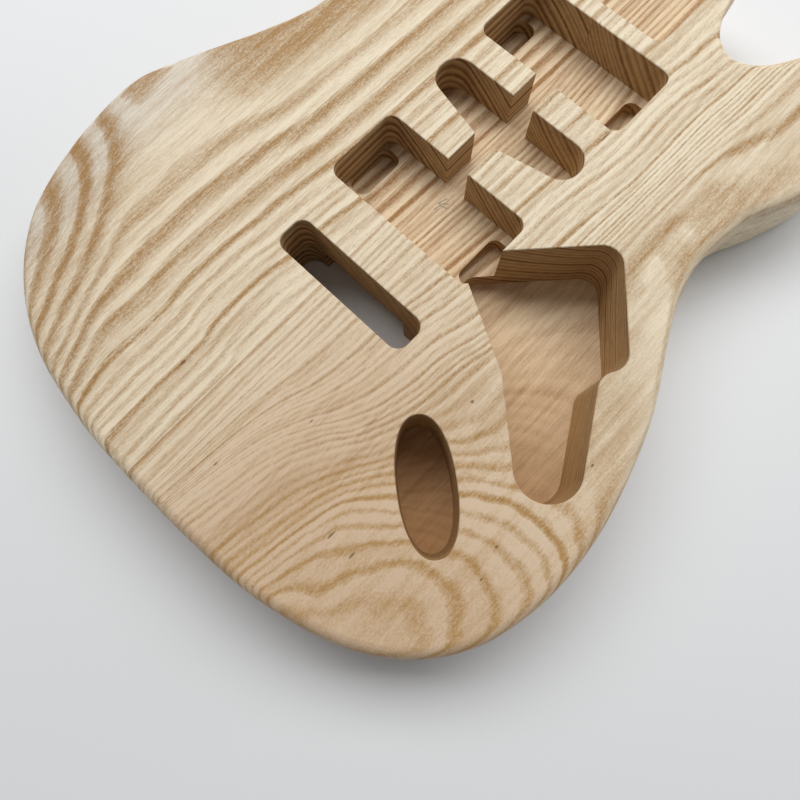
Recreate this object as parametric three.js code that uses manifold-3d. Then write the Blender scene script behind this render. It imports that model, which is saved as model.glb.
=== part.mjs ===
// Solid body of an electric guitar, bare wood, with two offset horns and a bolt-on neck pocket.
// Two ash boards are glued edge to edge, shaped as one blank and then routed.
// Millimetres. The body lies on its back: +X is the treble side, +Y the neck, +Z the top face.
// The origin is on the back face, on the centre line, halfway between the tail and the bass horn.
import * as THREE from "three";
import { mergeVertices } from "three/addons/utils/BufferGeometryUtils.js";
import Module from "manifold-3d";

const wasm = await Module();
wasm.setup();

// Blank: overall size, glue line and edges
const BODY_LENGTH = 460;
const BODY_WIDTH = 324;
const BODY_THICKNESS = 45;
const GLUE_LINE_X = -5.5;
const EDGE_ROUND = 6.5;
const EDGE_BREAK = 0.8;
const EDGE_FADE_START = 46;
const EDGE_FADE_END = 92;

// Arm bevel on the top face, bass side of the tail
const ARM_BEVEL_ANGLE = 16;
const ARM_BEVEL_BLEND = 8;
const ARM_CREASE_SHARES = [[-0.099, 0.002], [-0.463, 0.286]];

// Rib scoop on the back face, bass side of the waist
const RIB_SCOOP_ANGLE = 27;
const RIB_SCOOP_BLEND = 12;
const RIB_SCOOP_RADIUS = 145;
const RIB_SCOOP_CENTRE_SHARES = [-0.71, 0.57];

// Neck pocket and its four screws
const NECK_POCKET_WIDTH = 56.4;
const NECK_POCKET_DEPTH = 16;
const NECK_POCKET_LENGTH = 75;
const NECK_POCKET_CORNER = 6;
const NECK_SCREW_HOLE = 4.8;
const NECK_SCREW_SPACING_X = 38;
const NECK_SCREW_SPACING_Y = 51;

// Pickup routes: two wide ones with deeper ears, one narrow one, and the wiring channel
const ROUTE_DEPTH = 20.5;
const ROUTE_SPAN = 89.4;
const ROUTE_CORNER = 5.7;
const WIDE_ROUTE_LENGTH = 43.5;
const NECK_ROUTE_TO_POCKET = 10.8;
const MIDDLE_TO_NECK_ROUTE = 17.2;
const BRIDGE_TO_MIDDLE_ROUTE = 47.6;
const NARROW_ROUTE_LENGTH = 19.8;
const NARROW_ROUTE_POINT = 9.8;
const NARROW_ROUTE_END = 10.7;
const CHANNEL_WIDTH = 12.7;
const EAR_DEPTH = 28;
const EAR_WIDTH = 12.7;
const EAR_LENGTH = 29.5;
const EAR_FROM_TAIL_WALL = 8.5;
const EAR_CORNER = 5;

// Control cavity
const CONTROL_DEPTH = 38;
const CONTROL_WIDTH = 115.3;
const CONTROL_LENGTH = 122.6;
const CONTROL_CORNER = 9.6;
const CONTROL_END_CORNER = 14.8;
const CONTROL_INTO_ROUTE = 14.6;
const CONTROL_PAST_ROUTE = 22.3;

// Jack recess
const JACK_DEPTH = 38;
const JACK_LENGTH = 62.2;
const JACK_WIDTH = 26.2;
const JACK_ANGLE = -39;
const JACK_FULLNESS_SHARE = 2.25;
const JACK_FROM_CENTRE_LINE = 92.8;
const JACK_FROM_TAIL = 88.3;

// Slot for the bridge block and the spring cavity behind it
const SLOT_WIDTH = 80.5;
const SLOT_LENGTH = 18.2;
const SLOT_CORNER = 6;
const SLOT_OFFSET = 3.35;
const SLOT_TO_BRIDGE_ROUTE = 25.8;
const BLOCK_POCKET_WIDTH = 85;
const BLOCK_POCKET_LENGTH = 30;
const SPRING_CAVITY_DEPTH = 19.5;
const SPRING_CAVITY_WIDTH = 57.6;
const SPRING_CAVITY_LENGTH = 110;
const SPRING_CAVITY_CORNER = 8;

// Drilled wire holes
const JACK_WIRE_HOLE = 8;
const EARTH_WIRE_HOLE = 4;
const WIRE_HOLE_RISE = 10;

// Fineness of the faceted curves, and how far a cutter runs past what it cuts
const CURVE_STEPS = 24;
const LONGEST_FACET = 13;
const FACET_TURN = 6;
const ARC_TURN = 11;
const ROUND_STEPS = 5;
const OVERRUN = 5;
const WELD = 0.0001;

// Edge of the body, as shares of the width from the centre line and of the length from the tail.
// It runs from the bass side of the neck pocket round the bass horn, the tail and the treble horn.
const OUTLINE_SHARES = [
  [-0.123, 0.878], [-0.133, 0.861], [-0.15, 0.847], [-0.175, 0.842], [-0.202, 0.85], [-0.23, 0.873],
  [-0.256, 0.908], [-0.281, 0.948], [-0.306, 0.981], [-0.345, 1], [-0.39, 0.991], [-0.43, 0.96],
  [-0.462, 0.912], [-0.48, 0.855], [-0.483, 0.8], [-0.47, 0.735], [-0.438, 0.668], [-0.4, 0.608],
  [-0.372, 0.553], [-0.372, 0.5], [-0.4, 0.44], [-0.446, 0.367], [-0.486, 0.295], [-0.5, 0.225],
  [-0.493, 0.162], [-0.472, 0.113], [-0.424, 0.0695], [-0.351, 0.034], [-0.26, 0.0115], [-0.15, 0.0028],
  [-0.02, 0], [0.103, 0.0014], [0.2265, 0.0094], [0.35, 0.0359], [0.4235, 0.0713], [0.47, 0.116],
  [0.492, 0.1637], [0.5, 0.215], [0.4914, 0.2839], [0.4493, 0.386], [0.3937, 0.4628], [0.368, 0.502],
  [0.355, 0.543], [0.357, 0.578], [0.3661, 0.6176], [0.3846, 0.6452], [0.4074, 0.6844], [0.4234, 0.7226],
  [0.4295, 0.766], [0.424, 0.812], [0.403, 0.857], [0.372, 0.89], [0.34, 0.903], [0.309, 0.895],
  [0.288, 0.87], [0.27, 0.835], [0.247, 0.8], [0.217, 0.772], [0.183, 0.7595], [0.151, 0.768],
  [0.128, 0.791], [0.115, 0.822], [0.107, 0.872],
];

// Corners of the control cavity, as shares of its width and length, each with its radius
const CONTROL_CORNER_SHARES = [
  [0, 0.545, CONTROL_CORNER],
  [0.464, 0.308, CONTROL_END_CORNER],
  [0.824, 0, CONTROL_END_CORNER],
  [1, 0.135, CONTROL_END_CORNER],
  [0.739, 0.547, CONTROL_CORNER],
  [0.807, 0.64, CONTROL_CORNER],
  [0.461, 1, CONTROL_CORNER],
];

// How deep into a contour each ring of the skin lies: 1 at the body's edge, 0 at the crease
const CONTOUR_RING_SHARES = [0.62, 0.36, 0.2, 0.09, 0];

// Levels and stations that follow from the sizes above
const TAIL_Y = -BODY_LENGTH / 2;
const MOUTH_Y = TAIL_Y + OUTLINE_SHARES[0][1] * BODY_LENGTH;
const POCKET_END_Y = MOUTH_Y - NECK_POCKET_LENGTH;
const NECK_ROUTE_Y = POCKET_END_Y - NECK_ROUTE_TO_POCKET;
const MIDDLE_ROUTE_Y = NECK_ROUTE_Y - WIDE_ROUTE_LENGTH - MIDDLE_TO_NECK_ROUTE;
const BRIDGE_ROUTE_Y = MIDDLE_ROUTE_Y - BRIDGE_TO_MIDDLE_ROUTE;
const SLOT_Y = BRIDGE_ROUTE_Y - WIDE_ROUTE_LENGTH - SLOT_TO_BRIDGE_ROUTE;

const WOODS = {
  bass_side_board: { color: 0xd8c39c, roughness: 0.62, metalness: 0 },
  treble_side_board: { color: 0xd2b78f, roughness: 0.62, metalness: 0 },
};

// Solids from meshes and back

function solidOf(geometry) {
  const bare = new THREE.BufferGeometry();
  bare.setAttribute("position", geometry.getAttribute("position"));
  bare.setIndex(geometry.getIndex());
  const merged = mergeVertices(bare, WELD);
  const index = merged.getIndex().array;
  const kept = [];
  for (let i = 0; i < index.length; i += 3) {
    const [a, b, c] = index.slice(i, i + 3);
    if (a !== b && b !== c && c !== a) kept.push(a, b, c);
  }
  return new wasm.Manifold(new wasm.Mesh({
    numProp: 3,
    vertProperties: new Float32Array(merged.getAttribute("position").array),
    triVerts: new Uint32Array(kept),
  }));
}

function geometryOf(solid) {
  const mesh = solid.getMesh();
  const geometry = new THREE.BufferGeometry();
  geometry.setAttribute("position", new THREE.BufferAttribute(mesh.vertProperties, 3));
  geometry.setIndex(new THREE.BufferAttribute(mesh.triVerts, 1));
  geometry.computeVertexNormals();
  return geometry;
}

// Outlines

function turnBetween(before, here, after) {
  const a = here.clone().sub(before).angle();
  const b = after.clone().sub(here).angle();
  const turn = b - a;
  return Math.atan2(Math.sin(turn), Math.cos(turn));
}

// A closed outline with each corner [x, y, radius] rounded. Where an edge is too short for both of
// its roundings, they shrink together until they fit.
function roundedOutline(corners) {
  const points = corners.map(([x, y]) => new THREE.Vector2(x, y));
  const count = points.length;
  const at = (i) => points[(i + count) % count];
  const turns = points.map((p, i) => turnBetween(at(i - 1), p, at(i + 1)));
  const tangents = corners.map((corner, i) => corner[2] * Math.tan(Math.abs(turns[i]) / 2));
  const room = points.map((p, i) => p.distanceTo(at(i + 1)) / (tangents[i] + tangents[(i + 1) % count]));
  const outline = [];
  for (let i = 0; i < count; i += 1) {
    const fit = Math.min(1, room[i], room[(i - 1 + count) % count]);
    const back = at(i - 1).clone().sub(points[i]).normalize();
    const ahead = at(i + 1).clone().sub(points[i]).normalize();
    const start = points[i].clone().addScaledVector(back, tangents[i] * fit);
    const centreWay = back.clone().add(ahead).normalize();
    const reach = (corners[i][2] * fit) / Math.cos(Math.abs(turns[i]) / 2);
    const centre = points[i].clone().addScaledVector(centreWay, reach);
    const steps = Math.max(1, Math.ceil(THREE.MathUtils.radToDeg(Math.abs(turns[i])) / ARC_TURN));
    for (let step = 0; step <= steps; step += 1) {
      outline.push(start.clone().rotateAround(centre, (turns[i] * step) / steps));
    }
  }
  return outline;
}

function rectangle(left, right, tail, neck, corner) {
  return roundedOutline([
    [left, tail, corner], [right, tail, corner], [right, neck, corner], [left, neck, corner],
  ]);
}

function superEllipse(centre, length, width, angle, fullness) {
  const outline = [];
  const steps = Math.ceil(360 / ARC_TURN) * 2;
  const round = (value) => Math.sign(value) * Math.abs(value) ** (2 / fullness);
  for (let step = 0; step < steps; step += 1) {
    const turn = (2 * Math.PI * step) / steps;
    const point = new THREE.Vector2(round(Math.cos(turn)) * length, round(Math.sin(turn)) * width);
    outline.push(point.divideScalar(2).rotateAround(new THREE.Vector2(), angle).add(centre));
  }
  return outline;
}

// Cutters

function extruded(outline, low, high) {
  const geometry = new THREE.ExtrudeGeometry(new THREE.Shape(outline), {
    depth: high - low,
    bevelEnabled: false,
    steps: 1,
  });
  geometry.translate(0, 0, low);
  return solidOf(geometry);
}

const fromTop = (outline, depth) => extruded(outline, BODY_THICKNESS - depth, BODY_THICKNESS + OVERRUN);
const fromBack = (outline, depth) => extruded(outline, -OVERRUN, depth);
const through = (outline) => extruded(outline, -OVERRUN, BODY_THICKNESS + OVERRUN);

function drilled(start, end, diameter) {
  const way = end.clone().sub(start);
  const sides = Math.ceil(360 / (2 * ARC_TURN));
  const drill = new THREE.CylinderGeometry(diameter / 2, diameter / 2, way.length(), sides);
  drill.applyQuaternion(
    new THREE.Quaternion().setFromUnitVectors(new THREE.Vector3(0, 1, 0), way.clone().normalize()),
  );
  const middle = start.clone().add(end).divideScalar(2);
  drill.translate(middle.x, middle.y, middle.z);
  return solidOf(drill);
}

// Blank: the body's edge, rounded over, with the arm bevel and the rib scoop

const onBody = ([x, y]) => new THREE.Vector2(x * BODY_WIDTH, TAIL_Y + y * BODY_LENGTH);

// Walks the smooth curve in small steps and keeps a point at each set turn or length.
function facetedCurve(anchors) {
  const curve = new THREE.CatmullRomCurve3(
    anchors.map((p) => new THREE.Vector3(p.x, p.y, 0)), false, "centripetal",
  );
  const fine = curve.getPoints((anchors.length - 1) * CURVE_STEPS).map((p) => new THREE.Vector2(p.x, p.y));
  const kept = [fine[0]];
  let turned = 0;
  for (let i = 1; i < fine.length - 1; i += 1) {
    turned += turnBetween(fine[i - 1], fine[i], fine[i + 1]);
    const long = fine[i + 1].distanceTo(kept[kept.length - 1]) > LONGEST_FACET;
    if (long || Math.abs(turned) > THREE.MathUtils.degToRad(FACET_TURN)) {
      kept.push(fine[i]);
      turned = 0;
    }
  }
  kept.push(fine[fine.length - 1]);
  return kept;
}

// Stretches the outline so that its own box has exactly the body's width and length.
function fittedToBody(points) {
  const box = new THREE.Box2().setFromPoints(points);
  const size = box.getSize(new THREE.Vector2());
  const middle = box.getCenter(new THREE.Vector2());
  const scale = new THREE.Vector2(BODY_WIDTH, BODY_LENGTH).divide(size);
  return points.map((p) => p.clone().sub(middle).multiply(scale));
}

function inwardWays(points) {
  const count = points.length;
  return points.map((here, i) => {
    const before = here.clone().sub(points[(i - 1 + count) % count]).normalize();
    const after = points[(i + 1) % count].clone().sub(here).normalize();
    const sum = new THREE.Vector2(-before.y - after.y, before.x + after.x);
    return sum.divideScalar(1 + before.dot(after));
  });
}

// Each contour gives how far a point lies past its crease and the way in which it runs out.
const armBevel = {
  angle: ARM_BEVEL_ANGLE,
  blend: ARM_BEVEL_BLEND,
  past(point) {
    const [start, end] = ARM_CREASE_SHARES.map(onBody);
    return end.clone().sub(start).normalize().cross(point.clone().sub(start));
  },
  wayOut() {
    const [start, end] = ARM_CREASE_SHARES.map(onBody);
    const along = end.clone().sub(start).normalize();
    return new THREE.Vector2(along.y, -along.x);
  },
};

const ribScoop = {
  angle: RIB_SCOOP_ANGLE,
  blend: RIB_SCOOP_BLEND,
  past(point) {
    return RIB_SCOOP_RADIUS - point.distanceTo(onBody(RIB_SCOOP_CENTRE_SHARES));
  },
  wayOut(point) {
    return point.clone().sub(onBody(RIB_SCOOP_CENTRE_SHARES)).normalize();
  },
};

// Depth of a contour below its face, with the crease itself blended round.
function depthAt(point, contour) {
  const { angle, blend } = contour;
  const past = contour.past(point);
  const slope = Math.tan(THREE.MathUtils.degToRad(angle));
  if (past <= -blend) return 0;
  if (past >= blend) return slope * past;
  return (slope * (past + blend) ** 2) / (4 * blend);
}

// The place straight up the slope from a point where a contour has run out, or the point itself.
function runOut(point, contour) {
  const further = Math.max(0, contour.past(point) + contour.blend);
  return point.clone().addScaledVector(contour.wayOut(point), further);
}

// The edge is rounded everywhere but beside the neck pocket, where the neck seats on it.
function edgeRound(point) {
  const away = point.distanceTo(new THREE.Vector2(0, MOUTH_Y));
  const share = THREE.MathUtils.smoothstep(away, EDGE_FADE_START, EDGE_FADE_END);
  return THREE.MathUtils.lerp(EDGE_BREAK, EDGE_ROUND, share);
}

// Rings from the wall inwards over one face, each a list of points with the depth below that face.
function faceRings(points, contour) {
  const ways = inwardWays(points);
  const rounds = points.map(edgeRound);
  const inset = (share) => points.map((p, i) => p.clone().addScaledVector(ways[i], rounds[i] * share));
  const lowered = (places, share) => places.map((p, i) => (
    new THREE.Vector3(p.x, p.y, depthAt(p, contour) + rounds[i] * share)
  ));
  const rings = [];
  for (let step = 0; step <= ROUND_STEPS; step += 1) {
    const turn = (Math.PI / 2) * (step / ROUND_STEPS);
    rings.push(lowered(inset(1 - Math.cos(turn)), 1 - Math.sin(turn)));
  }
  const innermost = inset(1);
  const ends = innermost.map((p) => runOut(p, contour));
  for (const share of CONTOUR_RING_SHARES) {
    rings.push(lowered(ends.map((p, i) => p.clone().lerp(innermost[i], share)), 0));
  }
  return rings;
}

function bodyBlank() {
  const points = fittedToBody(facetedCurve(OUTLINE_SHARES.map(onBody)));
  const back = faceRings(points, ribScoop).reverse();
  const top = faceRings(points, armBevel);
  for (const ring of top) {
    for (const p of ring) p.z = BODY_THICKNESS - p.z;
  }
  const rings = [...back, ...top];
  const corners = [];
  for (let r = 0; r + 1 < rings.length; r += 1) {
    for (let i = 0; i < points.length; i += 1) {
      const j = (i + 1) % points.length;
      corners.push(rings[r][i], rings[r][j], rings[r + 1][j]);
      corners.push(rings[r][i], rings[r + 1][j], rings[r + 1][i]);
    }
  }
  const first = rings[0];
  const last = rings[rings.length - 1];
  for (const [a, b, c] of THREE.ShapeUtils.triangulateShape(points, [])) {
    corners.push(first[a], first[c], first[b]);
    corners.push(last[a], last[b], last[c]);
  }
  return solidOf(new THREE.BufferGeometry().setFromPoints(corners));
}

// Routes and cavities, each a list of cutters

function neckPocket() {
  const half = NECK_POCKET_WIDTH / 2;
  const past = MOUTH_Y + OVERRUN;
  const outline = roundedOutline([
    [-half, POCKET_END_Y, NECK_POCKET_CORNER], [half, POCKET_END_Y, NECK_POCKET_CORNER],
    [half, past, 0], [-half, past, 0],
  ]);
  const cutters = [fromTop(outline, NECK_POCKET_DEPTH)];
  const middle = POCKET_END_Y + NECK_POCKET_LENGTH / 2;
  for (const side of [-1, 1]) {
    for (const end of [-1, 1]) {
      const x = (side * NECK_SCREW_SPACING_X) / 2;
      const y = middle + (end * NECK_SCREW_SPACING_Y) / 2;
      cutters.push(drilled(
        new THREE.Vector3(x, y, -OVERRUN),
        new THREE.Vector3(x, y, BODY_THICKNESS - NECK_POCKET_DEPTH + OVERRUN),
        NECK_SCREW_HOLE,
      ));
    }
  }
  return cutters;
}

// A wide route between its tail wall and its neck wall, with a deeper ear pocket at each end
function wideRoute(neckWall) {
  const half = ROUTE_SPAN / 2;
  const tailWall = neckWall - WIDE_ROUTE_LENGTH;
  const earTail = tailWall + EAR_FROM_TAIL_WALL;
  const cutters = [fromTop(rectangle(-half, half, tailWall, neckWall, ROUTE_CORNER), ROUTE_DEPTH)];
  for (const [left, right] of [[-half, EAR_WIDTH - half], [half - EAR_WIDTH, half]]) {
    const ear = rectangle(left, right, earTail, earTail + EAR_LENGTH, EAR_CORNER);
    cutters.push(fromTop(ear, EAR_DEPTH));
  }
  return cutters;
}

// The narrow route has round ends and a tail wall that comes to a blunt point on the centre line.
function narrowRoute(neckWall) {
  const half = ROUTE_SPAN / 2;
  const endTail = neckWall - NARROW_ROUTE_LENGTH;
  return [fromTop(roundedOutline([
    [-half, endTail, NARROW_ROUTE_END], [0, endTail - NARROW_ROUTE_POINT, 0],
    [half, endTail, NARROW_ROUTE_END], [half, neckWall, NARROW_ROUTE_END],
    [-half, neckWall, NARROW_ROUTE_END],
  ]), ROUTE_DEPTH)];
}

function wiringChannel() {
  const half = CHANNEL_WIDTH / 2;
  const tail = BRIDGE_ROUTE_Y - WIDE_ROUTE_LENGTH / 2;
  const neck = NECK_ROUTE_Y - WIDE_ROUTE_LENGTH / 2;
  return [fromTop(rectangle(-half, half, tail, neck, 0), ROUTE_DEPTH)];
}

const CONTROL_LEFT_X = ROUTE_SPAN / 2 - CONTROL_INTO_ROUTE;
const CONTROL_TAIL_Y = BRIDGE_ROUTE_Y + CONTROL_PAST_ROUTE - CONTROL_LENGTH;
const onControl = (x, y) => [CONTROL_LEFT_X + x * CONTROL_WIDTH, CONTROL_TAIL_Y + y * CONTROL_LENGTH];

function controlCavity() {
  const corners = CONTROL_CORNER_SHARES.map(([x, y, radius]) => [...onControl(x, y), radius]);
  return [fromTop(roundedOutline(corners), CONTROL_DEPTH)];
}

const JACK_CENTRE = new THREE.Vector2(JACK_FROM_CENTRE_LINE, TAIL_Y + JACK_FROM_TAIL);

function jackRecess() {
  const angle = THREE.MathUtils.degToRad(JACK_ANGLE);
  const oval = superEllipse(JACK_CENTRE, JACK_LENGTH, JACK_WIDTH, angle, JACK_FULLNESS_SHARE);
  return [fromTop(oval, JACK_DEPTH)];
}

// The slot goes right through. Behind it the block swings in a wider pocket, flush with the slot's
// neck wall, and the springs lie in a long cavity that runs on towards the neck.
function blockSlotAndSpringCavity() {
  const slotHalf = SLOT_WIDTH / 2;
  const pocketHalf = BLOCK_POCKET_WIDTH / 2;
  const springHalf = SPRING_CAVITY_WIDTH / 2;
  const slot = rectangle(
    SLOT_OFFSET - slotHalf, SLOT_OFFSET + slotHalf, SLOT_Y - SLOT_LENGTH, SLOT_Y, SLOT_CORNER,
  );
  const pocket = rectangle(
    SLOT_OFFSET - pocketHalf, SLOT_OFFSET + pocketHalf, SLOT_Y - BLOCK_POCKET_LENGTH, SLOT_Y,
    SPRING_CAVITY_CORNER,
  );
  const springs = rectangle(
    -springHalf, springHalf, SLOT_Y - BLOCK_POCKET_LENGTH / 2, SLOT_Y + SPRING_CAVITY_LENGTH,
    SPRING_CAVITY_CORNER,
  );
  return [through(slot), fromBack(pocket, SPRING_CAVITY_DEPTH), fromBack(springs, SPRING_CAVITY_DEPTH)];
}

// One hole takes the jack's wires to the control cavity, the other the earth wire to the springs.
const JACK_HOLE_SHARES = [[-0.62, 0.2], [0.44, 0.42]];
const EARTH_HOLE_SHARES = [0.2, 0.5];

function wireHoles() {
  const level = BODY_THICKNESS - CONTROL_DEPTH + WIRE_HOLE_RISE;
  const [nearJack, inControl] = JACK_HOLE_SHARES;
  const angle = THREE.MathUtils.degToRad(JACK_ANGLE);
  const jackEnd = new THREE.Vector2((nearJack[0] * JACK_LENGTH) / 2, (nearJack[1] * JACK_WIDTH) / 2);
  jackEnd.rotateAround(new THREE.Vector2(), angle).add(JACK_CENTRE);
  const [controlX, controlY] = onControl(...inControl);
  const [earthX, earthY] = onControl(...EARTH_HOLE_SHARES);
  const springX = SPRING_CAVITY_WIDTH / 2 - OVERRUN;
  const springY = earthY - (earthX - springX) / 2;
  const springLevel = SPRING_CAVITY_DEPTH - WIRE_HOLE_RISE / 2;
  return [
    drilled(
      new THREE.Vector3(jackEnd.x, jackEnd.y, level),
      new THREE.Vector3(controlX, controlY, level),
      JACK_WIRE_HOLE,
    ),
    drilled(
      new THREE.Vector3(springX, springY, springLevel),
      new THREE.Vector3(earthX, earthY, springLevel),
      EARTH_WIRE_HOLE,
    ),
  ];
}

// The routed blank, parted along the glue line into its two boards

function halfSpace(left, right) {
  const box = new THREE.BoxGeometry(right - left, BODY_LENGTH + 2 * OVERRUN, BODY_THICKNESS + 2 * OVERRUN);
  box.translate((left + right) / 2, 0, BODY_THICKNESS / 2);
  return solidOf(box);
}

function routedBlank() {
  const cutters = [
    ...neckPocket(),
    ...wideRoute(NECK_ROUTE_Y),
    ...narrowRoute(MIDDLE_ROUTE_Y),
    ...wideRoute(BRIDGE_ROUTE_Y),
    ...wiringChannel(),
    ...controlCavity(),
    ...jackRecess(),
    ...blockSlotAndSpringCavity(),
    ...wireHoles(),
  ];
  const allCutters = cutters.reduce((joined, cutter) => joined.add(cutter));
  return bodyBlank().subtract(allCutters);
}

function board(name, solid) {
  const mesh = new THREE.Mesh(geometryOf(solid), new THREE.MeshStandardMaterial(WOODS[name]));
  mesh.name = name;
  return mesh;
}

const guitarBody = new THREE.Group();
guitarBody.name = "guitar_body";
const routed = routedBlank();
const outside = BODY_WIDTH / 2 + OVERRUN;
guitarBody.add(board("bass_side_board", routed.intersect(halfSpace(-outside, GLUE_LINE_X))));
guitarBody.add(board("treble_side_board", routed.intersect(halfSpace(GLUE_LINE_X, outside))));

export default guitarBody;
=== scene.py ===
"""Bare ash body of an electric guitar on pale paper, as it leaves the router.

The two boards of the frame are replaced by finer ones of the same sizes: a denser edge, eased
mouths on every route, and ash whose rings run through each board as they did through the log.
"""

import math

import bmesh
import bpy
from mathutils import Matrix, Vector


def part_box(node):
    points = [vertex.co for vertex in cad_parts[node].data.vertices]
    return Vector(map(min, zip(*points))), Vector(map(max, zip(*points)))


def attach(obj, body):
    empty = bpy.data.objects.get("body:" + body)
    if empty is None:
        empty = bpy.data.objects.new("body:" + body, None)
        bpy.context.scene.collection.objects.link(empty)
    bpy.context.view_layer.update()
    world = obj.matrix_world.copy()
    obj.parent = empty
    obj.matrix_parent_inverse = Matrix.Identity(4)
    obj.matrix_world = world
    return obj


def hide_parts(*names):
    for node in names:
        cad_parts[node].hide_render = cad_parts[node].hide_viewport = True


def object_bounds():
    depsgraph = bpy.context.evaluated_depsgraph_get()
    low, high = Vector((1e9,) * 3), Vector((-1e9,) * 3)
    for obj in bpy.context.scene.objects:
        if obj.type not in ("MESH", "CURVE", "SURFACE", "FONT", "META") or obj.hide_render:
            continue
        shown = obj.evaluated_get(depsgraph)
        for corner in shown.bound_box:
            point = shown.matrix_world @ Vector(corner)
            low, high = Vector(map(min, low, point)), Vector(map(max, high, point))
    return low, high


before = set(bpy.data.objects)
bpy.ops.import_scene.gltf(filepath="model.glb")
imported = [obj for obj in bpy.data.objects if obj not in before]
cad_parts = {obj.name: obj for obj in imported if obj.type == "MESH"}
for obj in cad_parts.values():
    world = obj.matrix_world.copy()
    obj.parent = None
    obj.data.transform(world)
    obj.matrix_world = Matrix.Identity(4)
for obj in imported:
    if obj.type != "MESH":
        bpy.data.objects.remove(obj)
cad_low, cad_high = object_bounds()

MM = 0.001

# Blank, from the frame's own box
WIDTH = cad_high.x - cad_low.x
LENGTH = cad_high.y - cad_low.y
TOP = cad_high.z
TAIL_Y = cad_low.y
GLUE_LINE_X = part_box("treble_side_board")[0].x

# Edge of the blank
EDGE_ROUND = 6.5 * MM
EDGE_BREAK = 0.8 * MM
EDGE_FADE_START = 46 * MM
EDGE_FADE_END = 92 * MM

# Arm bevel on the top, rib scoop on the back
ARM_BEVEL_ANGLE = math.radians(16)
ARM_BEVEL_BLEND = 8 * MM
ARM_CREASE_SHARES = ((-0.099, 0.002), (-0.463, 0.286))
RIB_SCOOP_ANGLE = math.radians(27)
RIB_SCOOP_BLEND = 12 * MM
RIB_SCOOP_RADIUS = 145 * MM
RIB_SCOOP_CENTRE_SHARES = (-0.71, 0.57)

# Neck pocket
POCKET_WIDTH = 56.4 * MM
POCKET_DEPTH = 16 * MM
POCKET_LENGTH = 75 * MM
POCKET_CORNER = 6 * MM
NECK_SCREW_HOLE = 4.8 * MM
NECK_SCREW_SPACING = Vector((38 * MM, 51 * MM))

# Pickup routes and wiring channel
ROUTE_DEPTH = 20.5 * MM
ROUTE_SPAN = 89.4 * MM
ROUTE_CORNER = 5.7 * MM
WIDE_ROUTE_LENGTH = 43.5 * MM
NECK_ROUTE_TO_POCKET = 10.8 * MM
MIDDLE_TO_NECK_ROUTE = 17.2 * MM
BRIDGE_TO_MIDDLE_ROUTE = 47.6 * MM
NARROW_ROUTE_LENGTH = 19.8 * MM
NARROW_ROUTE_POINT = 9.8 * MM
NARROW_ROUTE_END = 10.7 * MM
CHANNEL_WIDTH = 12.7 * MM
EAR_DEPTH = 28 * MM
EAR_WIDTH = 12.7 * MM
EAR_LENGTH = 29.5 * MM
EAR_FROM_TAIL_WALL = 8.5 * MM
EAR_CORNER = 5 * MM

# Control cavity
CONTROL_DEPTH = 38 * MM
CONTROL_WIDTH = 115.3 * MM
CONTROL_LENGTH = 122.6 * MM
CONTROL_CORNER = 9.6 * MM
CONTROL_END_CORNER = 14.8 * MM
CONTROL_INTO_ROUTE = 14.6 * MM
CONTROL_PAST_ROUTE = 22.3 * MM

# Jack recess
JACK_DEPTH = 38 * MM
JACK_LENGTH = 62.2 * MM
JACK_WIDTH = 26.2 * MM
JACK_ANGLE = math.radians(-39)
JACK_FULLNESS = 2.25
JACK_FROM_CENTRE_LINE = 92.8 * MM
JACK_FROM_TAIL = 88.3 * MM

# Slot for the bridge block, with the spring cavity behind it
SLOT_WIDTH = 80.5 * MM
SLOT_LENGTH = 18.2 * MM
SLOT_CORNER = 6 * MM
SLOT_OFFSET = 3.35 * MM
SLOT_TO_BRIDGE_ROUTE = 25.8 * MM
BLOCK_POCKET_WIDTH = 85 * MM
BLOCK_POCKET_LENGTH = 30 * MM
SPRING_CAVITY_DEPTH = 19.5 * MM
SPRING_CAVITY_WIDTH = 57.6 * MM
SPRING_CAVITY_LENGTH = 110 * MM
SPRING_CAVITY_CORNER = 8 * MM

# Drilled wire holes
JACK_WIRE_HOLE = 8 * MM
EARTH_WIRE_HOLE = 4 * MM
WIRE_HOLE_RISE = 10 * MM
JACK_HOLE_SHARES = ((-0.62, 0.2), (0.44, 0.42))
EARTH_HOLE_SHARES = (0.2, 0.5)
EARTH_HOLE_SLANT = 0.5

# Fineness
EASE = 0.35 * MM
OVERRUN = 5 * MM
CURVE_STEPS = 60
LONGEST_FACET = 4 * MM
FACET_TURN = math.radians(2.5)
ARC_TURN = math.radians(4)
DRILL_SIDES = 30
ROUND_STEPS = 9
CREASE_RINGS = 14
WELD = 0.002 * MM
SHARP = math.radians(32)
FLAT_FACE_WEIGHT = 100

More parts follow.
